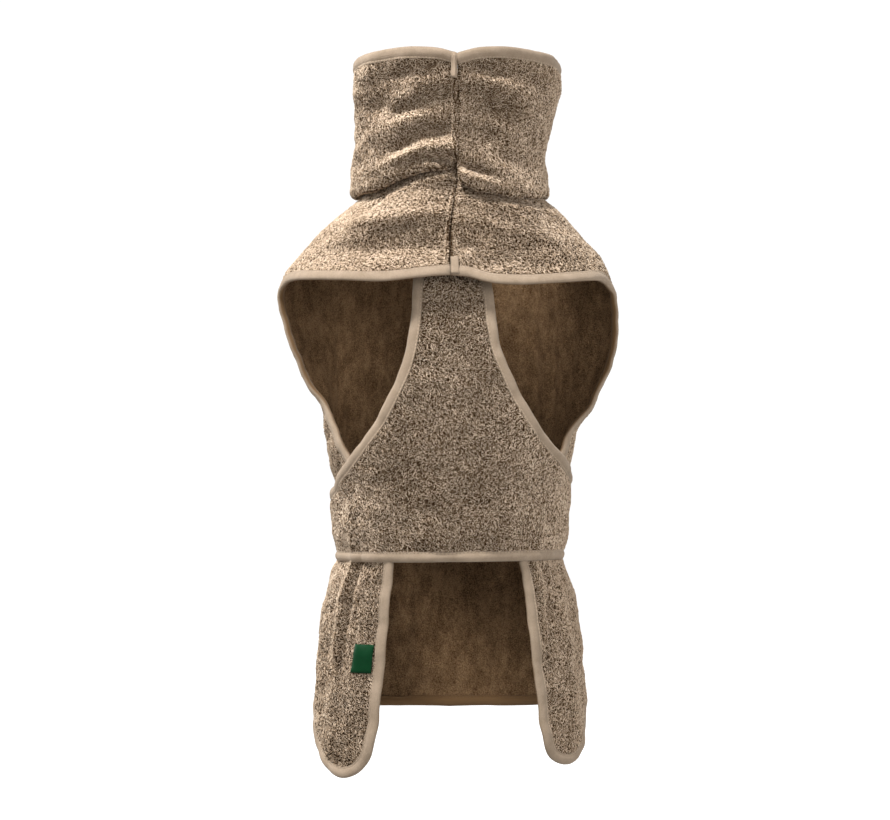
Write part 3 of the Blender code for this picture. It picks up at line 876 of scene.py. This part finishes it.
def make_tape_group():
    """Fine twill of the tape: its height, and its slightly uneven colour."""
    group, given, made = new_group(
        "twill_tape",
        [("Pale", (0.47, 0.385, 0.3)), ("Dark", (0.33, 0.26, 0.19))],
        [("Color", "NodeSocketColor"), ("Height", "NodeSocketFloat")],
    )
    place = cloth_place(group)
    bands = [("Vector", place), ("Scale", 0.62), ("Distortion", 1.2), ("Detail", 2.0), ("Detail Scale", 1.0)]
    twill = add_node(group, "ShaderNodeTexWave", bands, bands_direction="DIAGONAL").outputs["Fac"]
    blotches = add_noise(group, place, 0.09, detail=3.0, roughness=0.6)
    fibres = add_noise(group, place, 1.4, roughness=0.6)
    large = remap(group, blotches, *NOISE_RANGE, 0.0, 0.6)
    small = remap(group, fibres, *NOISE_RANGE, -0.2, 0.4)
    share = calculate(group, "ADD", large, small)
    group.links.new(mix_colours(group, share, given["Dark"], given["Pale"]), made["Color"])
    ridges, fuzz = (calculate(group, "MULTIPLY", part, 0.6) for part in (twill, fibres))
    group.links.new(calculate(group, "ADD", ridges, fuzz), made["Height"])
    return group


tape_group = make_tape_group()


def make_tape_material(name, pale, dark):
    material, tree, shader = new_material(name, roughness=0.8, sheen=0.1)
    tape = use_group(tree, tape_group, [("Pale", (*pale, 1)), ("Dark", (*dark, 1))])
    # painted shade on the side of the tape or thread that lies inside the robe
    colour = mix_colours(tree, point_value(tree, "outside"), INSIDE_TAPE_SHADE, tape["Color"])
    tree.links.new(colour, shader["Base Color"])
    bump = add_bump(tree, tape["Height"], strength=0.6, distance=0.0003)
    tree.links.new(bump, shader["Normal"])
    return material


tape_cloth = make_tape_material("binding_tape", pale=(0.325, 0.25, 0.183), dark=(0.23, 0.172, 0.118))
thread = make_tape_material("sewing_thread", pale=(0.48, 0.38, 0.28), dark=(0.36, 0.28, 0.2))


def add_binding(name, surface, edge, inner):
    """The tape over one bound edge, and its stitches."""
    (*tape_mesh, tape_outside), (*sewn_mesh, sewn_outside), length = binding(surface, edge, inner)
    tape = add_piece(name, *tape_mesh, tape_cloth, "binding", "outside", tape_outside)
    sewing = add_piece(f"{name}_stitches", *sewn_mesh, thread, "binding", "outside", sewn_outside)
    return tape


cape_tape = add_binding("cape_tape", cape_surface, cape_edge, cape_inner)
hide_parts("cape_binding")


# --- The chest panel ---
# Strap and belly band in one cut of the same towelling, bound all round but for the strap's top, which is
# sewn into the neck. The band's wings go round the sides under the cape and lap over each other on the back.

CHEST_LIFT = (
    # drop, how far the chest panel stands off the form
    (-40, -5),
    (10, -5),
    (40, -2),
    (80, 3),
    (120, 6),
    (140, 6.4),
    (328, 6.4),
    (356, 3),
    (370, 3),
)
OVERLAP_LIFT = (
    # swing, how much further off the left wing stands to lie over the right one
    (-200, 6.6),
    (-163, 6.6),
    (-140, 0),
    (200, 0),
)
WINGS_SWING = 150  # past this the wings lie close to the back, with no ripples
WINGS_EASE = 20  # over which the ripples fade out before it
CHEST_SHIFT = 40  # of the ripples, so that they aren't those of the cape above
BETWEEN_TAPES = 15  # how far the bare top of the strap reaches to either side
# a wider spread than the cape's: painted light and shade on the chest's loops, which lie in the yoke's
# shadow
CHEST_TONES = (0.45, 1.35)
STRAP_TOP = ((-20, -24), (-10, -26.5), (0, -27), (10, -23), (20, -20))
CHEST_EDGE = (
    # swing from the centre of the chest, drop: from the strap's right corner, round, to its left one
    (20, -20),
    (20.5, 20),
    (21, 60),
    (20.8, 100),
    (20.8, 126),
    (23, 153),
    (27.5, 176.5),
    (33.3, 200),
    (42.8, 229),
    (53.4, 248),
    (66, 262),
    (80, 272),
    (105, 282),
    (140, 292),
    (170, 297),
    (184, 301),
    (191.5, 311),
    (193.5, 329),
    (191.5, 347),
    (184, 356.5),
    (170, 360),
    (130, 359),
    (90, 357),
    (45, 354.5),
    (0, 354),
    (-45, 356),
    (-90, 358.5),
    (-130, 360),
    (-170, 360),
    (-184, 356.5),
    (-191.5, 347),
    (-193.5, 329),
    (-191.5, 311),
    (-184, 301),
    (-170, 298),
    (-140, 297),
    (-105, 295),
    (-85, 291),
    (-72, 285),
    (-61.6, 271.5),
    (-50, 256.5),
    (-40.6, 239),
    (-33, 219.6),
    (-26.8, 195.6),
    (-22, 172),
    (-18.6, 143),
    (-17.6, 114),
    (-17.8, 80),
    (-19, 30),
    (-20, -24),
)


def chest_surface(flat):
    """The chest panel's flat drawing has swing, from the centre of the chest, in place of turn."""
    swing, drop = flat[:, 0], flat[:, 1]
    on_front = np.clip((WINGS_SWING - np.abs(swing)) / WINGS_EASE, 0, 1)
    small = on_front * ripples(swing * TURN_MM + CHEST_SHIFT, drop)
    lift = read_table(CHEST_LIFT, drop) + read_table(OVERLAP_LIFT, swing)
    return trunk(180 - swing, drop, lift + small)


chest_edge = smooth_line(chest_surface, CHEST_EDGE, EDGE_STEP)
strap_top = smooth_line(chest_surface, STRAP_TOP, EDGE_STEP)
right_way = (strap_top[-2] - strap_top[-1]) * (TURN_MM, 1)
left_way = (strap_top[1] - strap_top[0]) * (TURN_MM, 1)
chest_inner = inner_line(chest_surface, chest_edge, right_way, left_way)
bare_top = strap_top[np.abs(strap_top[:, 0]) < BETWEEN_TAPES]
chest_cut = fill(chest_edge, chest_inner, bare_top)
chest, chest_loops = add_towelling("chest_towelling", chest_surface, *chest_cut, CHEST_TONES, seamed=False)
chest_tape = add_binding("chest_tape", chest_surface, chest_edge, chest_inner)
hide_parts("chest_panel")
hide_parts("chest_binding")


# --- The collar ---
# Two halves of towelling sewn together at the front and the back, and to the cape at the neck seam. Each
# stands up as a tall soft tube that slumps into a roll over its seam, with tape folded over its rim.

COLLAR_PROFILE = (
    # row, out from the neck seam, above it, share of the hang, share of the height to the rim
    (0, -0.5, 3.2, 0, 0),
    (1, 6, 3, 0.08, 0),
    (2, 11.5, 1, 0.7, 0),
    (3, 14.5, 1.5, 1, 0),
    (4, 16.5, 3, 0.6, 0),
    (5, 15.5, 6, 0, 0.05),
    (6, 13.5, 4, 0, 0.22),
    (7, 13.5, 3, 0, 0.4),
    (8, 16.5, 2, 0, 0.58),
    (9, 20, 0, 0, 0.78),
    (10, 20.5, -REACH, 0, 1),
    (11, 21, 0, 0, 1),
)
COLLAR_HANG = (
    # turn, how far the roll at the collar's foot hangs below the neck seam, how far it is pushed out
    (-180, 6, -6),
    (-160, 6, -4),
    (-145, 8.5, 0),
    (-130, 12, 4),
    (-115, 9, 2),
    (-95, 8.5, 0),
    (0, 9, 0),
    (95, 8.5, 0),
    (115, 12, 6),
    (130, 20, 9),
    (150, 28, 11),
    (166, 28, 10),
    (174, 23, 7),
    (180, 18, 4),
)
COLLAR_RIM = (
    # turn either way, height of the rim
    (0, 137),
    (90, 133.5),
    (120, 138),
    (150, 140),
    (166, 138.5),
    (180, 133),
)
COLLAR_LEAN = (
    # height, how far the tube leans to +X behind and at its sides
    (0, 0),
    (40, 0),
    (76, 3),
    (100, 6),
    (137, 6.5),
)
COLLAR_SLUMP = (
    # height, how far the front leans back
    (20, 0),
    (60, 1),
    (95, 5),
    (118, 5),
    (137, 1),
)
COLLAR_FOLDS = (
    # turn, height, half length, half width, depth, slope in degrees (0 runs round the neck)
    (-171, 31.5, 15, 5, -12.5, 4),
    (-160, 21, 22, 5, 4.0, -10),
    (-170, 43, 18, 4.5, 5.0, 0),
    (-150, 36.5, 24, 4.5, 5.0, -18),
    (-171, 57, 19, 8.5, -9.0, -6),
    (-147, 46, 26, 7, -7.0, -18),
    (-148, 68, 40, 8, 5.5, -15),
    (-148, 81, 34, 7, -3.0, -5),
    (-124, 86, 16, 10, -7.0, 0),
    (-158, 99, 30, 7, 3.5, -24),
    (-142, 113, 32, 6.5, -4.5, -3),
    (-120, 118, 20, 8, 2.0, 0),
    (-112, 40, 20, 16, 2.0, 60),
    (160, 114, 28, 6.5, -4.5, 6),
    (130, 108, 22, 7, -3.5, 24),
    (150, 96, 44, 14, 5.0, 20),
    (158, 50, 26, 12, -3.0, 12),
    (140, 30, 36, 8, -3.0, 5),
    (170, 21, 17, 4.5, -11.5, 18),
    (168, 12, 16, 4, 2.5, 18),
    (118, 70, 24, 9, 1.5, 60),
    (62, 80, 34, 8, 5.0, -15),
    (56, 52, 36, 7, -5.0, -8),
    (40, 40, 45, 8, -4.5, 10),
    (20, 90, 45, 9, 5.5, -8),
    (10, 64, 40, 7, -5.0, -12),
    (-25, 56, 45, 8, -5.0, 12),
    (-40, 82, 40, 8, 4.5, 18),
    (-60, 95, 40, 9, 4.5, 15),
    (-85, 50, 36, 8, -3.0, -10),
    (-92, 22, 60, 18, 1, 0),
    (92, 24, 60, 16, -2, 0),
)
COLLAR_TURN_MM = 1.65  # length of one degree of turn round the collar
COLLAR_RADIUS = 100.0  # makes a distance of the angle from a seam
COLLAR_SHIFT = 15  # of the ripples
LOOSE_ROW = 4  # row of the profile from which the folds show in full
TAPE_ROW = 10  # row where the tape begins
RIM_ROW = 11
SEAM_COLUMNS = (0.1, 0.7, 1.3, 1.9, 2.5, 3.2, 4.2)  # turns from the front seam where the welt needs them
BACK_TURN = 0.1  # where a half stops at the back seam
COLLAR_COLUMNS = 140
COLLAR_ROWS = 90
UNDER_TAPE_ROWS = 5
COLLAR_TONES = (0.5, 1.2)


def collar_surface(flat):
    """The collar's flat drawing has turn, and the row of its profile in place of drop."""
    turn, row = flat[:, 0], flat[:, 1]
    angle = np.radians(turn)
    neck_height = read_table(NECK_RISE, np.abs(turn))
    neck = cape_surface(np.stack([turn, -neck_height], axis=-1))
    roll_share = read_table(COLLAR_PROFILE, row, 3)
    hang = read_table(COLLAR_HANG, turn, 1) * roll_share
    to_rim = (read_table(COLLAR_RIM, np.abs(turn)) - neck_height) * read_table(COLLAR_PROFILE, row, 4)
    height = neck_height + read_table(COLLAR_PROFILE, row, 2) - hang + to_rim
    loose = np.clip(row / LOOSE_ROW, 0, 1)
    to_front = np.radians(180 - np.abs(turn)) * COLLAR_RADIUS
    to_back = np.radians(np.abs(turn)) * COLLAR_RADIUS
    seam = seam_shape(turn, to_front) + seam_shape(turn, to_back)
    small = ripples(turn * COLLAR_TURN_MM + COLLAR_SHIFT, height)
    out = read_table(COLLAR_PROFILE, row, 1) + read_table(COLLAR_HANG, turn, 2) * roll_share
    out = out + loose * (joined_folds(COLLAR_FOLDS, turn, height, COLLAR_TURN_MM) + seam + small)
    frontness = np.clip(-np.cos(angle), 0, 1) ** 2
    lean = read_table(COLLAR_LEAN, height) * (1 - frontness)
    x = neck[:, 0] + out * np.sin(angle) + lean
    y = neck[:, 1] + out * np.cos(angle) + read_table(COLLAR_SLUMP, height) * frontness
    return np.stack([x, y, height], axis=-1)


def grid_faces(columns, rows):
    """Two triangles for each cell of points that run row by row up each column."""
    corner = (np.arange(columns - 1)[:, None] * rows + np.arange(rows - 1)).ravel()
    lower = np.stack([corner, corner + 1, corner + rows], axis=1)
    upper = np.stack([corner + 1, corner + rows + 1, corner + rows], axis=1)
    return np.concatenate([lower, upper])


def add_collar_half(side, sign):
    """One half with its loops and its tape; the sign is that of its turns."""
    seam_side = 180 - np.array(SEAM_COLUMNS)
    rest = np.linspace(seam_side[-1], BACK_TURN, COLLAR_COLUMNS)[1:]
    turns = sign * np.concatenate([seam_side, rest])

    def strip(rows):
        flat = np.array([(turn, row) for turn in turns for row in rows])
        return flat, grid_faces(len(turns), len(rows))

    body, net = strip(np.linspace(0, TAPE_ROW, COLLAR_ROWS))
    rim, under = strip(np.linspace(TAPE_ROW, RIM_ROW, UNDER_TAPE_ROWS))
    cut = np.concatenate([body, rim]), under + len(body), net
    half, loops = add_towelling(f"collar_{side}_towelling", collar_surface, *cut, COLLAR_TONES)
    inner, edge = (np.array([(turn, row) for turn in turns]) for row in (TAPE_ROW, RIM_ROW))
    tape = add_binding(f"collar_{side}_tape", collar_surface, edge, inner)
    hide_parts(f"collar_{side}")
    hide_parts(f"collar_binding_{side}")


add_collar_half("left", -1)
add_collar_half("right", 1)


# --- The label and the tabs ---
# A plain woven label sewn to the left flap, and a folded end of tape where the yoke's binding meets at the
# front seam, with another where the collar's two bindings meet above it.

LABEL_TURNS = (-145.2, -134.8)
LABEL_DROPS = (437, 465)
LABEL_LIFT = 4.1  # of its middle off the cape's cloth
LABEL_SLANT = 0.05  # degrees of turn to each mm down
LABEL = 0.7  # thickness
TAB_TURNS = (176.3, 179.8)
TAB_DROPS = (65.5, 81.8)
RIM_TAB_TURNS = (-179.9, -176.3)
RIM_TAB_ROWS = (9.0, 10.94)
TAB_LIFT = 4.3
TAB = 1.6
SEWN_DOWN = 1.0  # how much lower the edges lie than the middle
SEWN_POWER = 6  # how suddenly they turn down
PATCH_STEPS = 14


def add_patch(name, surface, turns, downs, lift, thickness, material, slot, slant=0.0):
    """A small flat piece sewn on a surface, its edges drawn down by the stitches."""
    share = np.linspace(-1, 1, PATCH_STEPS)
    place = np.array([(u, v) for u in share for v in share])
    turn = np.interp(place[:, 0], (-1, 1), turns)
    down = np.interp(place[:, 1], (-1, 1), downs)
    flat = np.stack([turn + slant * (down - np.mean(downs)), down], axis=-1)
    height = lift - SEWN_DOWN * np.abs(place).max(axis=1) ** SEWN_POWER
    up = np.tile(normals(surface, flat).mean(axis=0), (len(flat), 1))
    middle = surface(flat) + up * height[:, None]
    points, faces = shell(middle, up, grid_faces(PATCH_STEPS, PATCH_STEPS), thickness)
    return add_piece(name, points, faces, material, slot, "outside", np.ones(len(points)))


def make_label_material():
    """Plain green satin ribbon with a fine cross rib."""
    material, tree, shader = new_material("green_ribbon", roughness=0.45, sheen=0.0)
    links = [("Vector", cloth_place(tree)), ("Scale", 0.35)]
    rib = add_node(tree, "ShaderNodeTexWave", links, bands_direction="Z").outputs["Fac"]
    colour = mix_colours(tree, rib, (0.001, 0.02, 0.005, 1), (0.002, 0.042, 0.013, 1))
    tree.links.new(colour, shader["Base Color"])
    tree.links.new(add_bump(tree, rib, strength=0.5, distance=0.0002), shader["Normal"])
    return material


label_ribbon = make_label_material()
label_place = cape_surface, LABEL_TURNS, LABEL_DROPS, LABEL_LIFT
tab_place = cape_surface, TAB_TURNS, TAB_DROPS, TAB_LIFT
rim_tab_place = collar_surface, RIM_TAB_TURNS, RIM_TAB_ROWS, TAB_LIFT
label = add_patch("side_label", *label_place, LABEL, label_ribbon, "label_cloth", LABEL_SLANT)
tab = add_patch("hem_tape_tab", *tab_place, TAB, tape_cloth, "binding")
rim_tab = add_patch("rim_tape_tab", *rim_tab_place, TAB, tape_cloth, "binding")
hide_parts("label")
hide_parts("hem_tab")


# --- The studio ---
# A floor and a world that the camera sees as plain white, and large soft lights. The robe is held up by its
# neck, and the camera stands level with its middle, square to its chest.

LIGHTS = (
    # name, place, size, power in watts
    ("key", (-0.95, -1.35, 2.4), 0.7, 176),
    ("front", (0.2, -2.9, 0.2), 1.6, 22),
    ("side_left", (-1.9, -1.0, 0.1), 1.2, 12),
    ("side_right", (1.9, -1.2, 0.0), 1.2, 30),
    ("back_left", (-2.1, 1.2, 0.8), 0.8, 62),
    ("back_right", (1.6, 1.9, 0.2), 1.4, 30),
)
AIM = Vector((0, 0, -0.2))
FLOOR_HEIGHT = -0.78
FLOOR_HALF = 40.0  # half its width
FLOOR_CORNERS = ((-1, -1), (1, -1), (1, 1), (-1, 1))
WORLD_LIGHT = 0.16  # strength of the white world where it lights the robe
WORLD_SEEN = 1.05  # where the camera sees it
CAMERA_PLACE = (-0.005, -2.5, -0.21)
CAMERA_FIELD = 0.89  # metres across the picture at the middle of the robe

for name, place, size, power in LIGHTS:
    lamp = bpy.data.lights.new(name, "AREA")
    lamp.size = size
    lamp.energy = power
    holder = add_object(name, lamp)
    holder.location = place
    holder.rotation_euler = (AIM - Vector(place)).to_track_quat("-Z", "Y").to_euler()

floor_mesh = bpy.data.meshes.new("floor")
floor_points = [(x * FLOOR_HALF, y * FLOOR_HALF, FLOOR_HEIGHT) for x, y in FLOOR_CORNERS]
floor_mesh.from_pydata(floor_points, [], [(0, 1, 2, 3)])
floor_material = bpy.data.materials.new("studio_floor")
floor_material.use_nodes = True
floor_tree = floor_material.node_tree
floor_shader = floor_tree.nodes["Principled BSDF"].inputs
floor_shader["Base Color"].default_value = (0.25, 0.25, 0.25, 1)
floor_shader["Roughness"].default_value = 0.9
floor_shader["Emission Color"].default_value = (1, 1, 1, 1)
seen = add_node(floor_tree, "ShaderNodeLightPath").outputs["Is Camera Ray"]
floor_tree.links.new(seen, floor_shader["Emission Strength"])
floor_mesh.materials.append(floor_material)
floor = add_object("floor", floor_mesh)

world = bpy.data.worlds.new("studio")
world.use_nodes = True
world_tree = world.node_tree
background = world_tree.nodes["Background"].inputs
background["Color"].default_value = (1, 1, 1, 1)
seen = add_node(world_tree, "ShaderNodeLightPath").outputs["Is Camera Ray"]
world_tree.links.new(remap(world_tree, seen, 0, 1, WORLD_LIGHT, WORLD_SEEN), background["Strength"])
bpy.context.scene.world = world
bpy.context.scene.view_settings.view_transform = "Standard"

camera = bpy.data.cameras.new("camera")
camera.lens = camera.sensor_width * -CAMERA_PLACE[1] / CAMERA_FIELD
camera_holder = add_object("camera", camera)
camera_holder.location = CAMERA_PLACE
camera_holder.rotation_euler = (np.pi / 2, 0, 0)
bpy.context.scene.camera = camera_holder
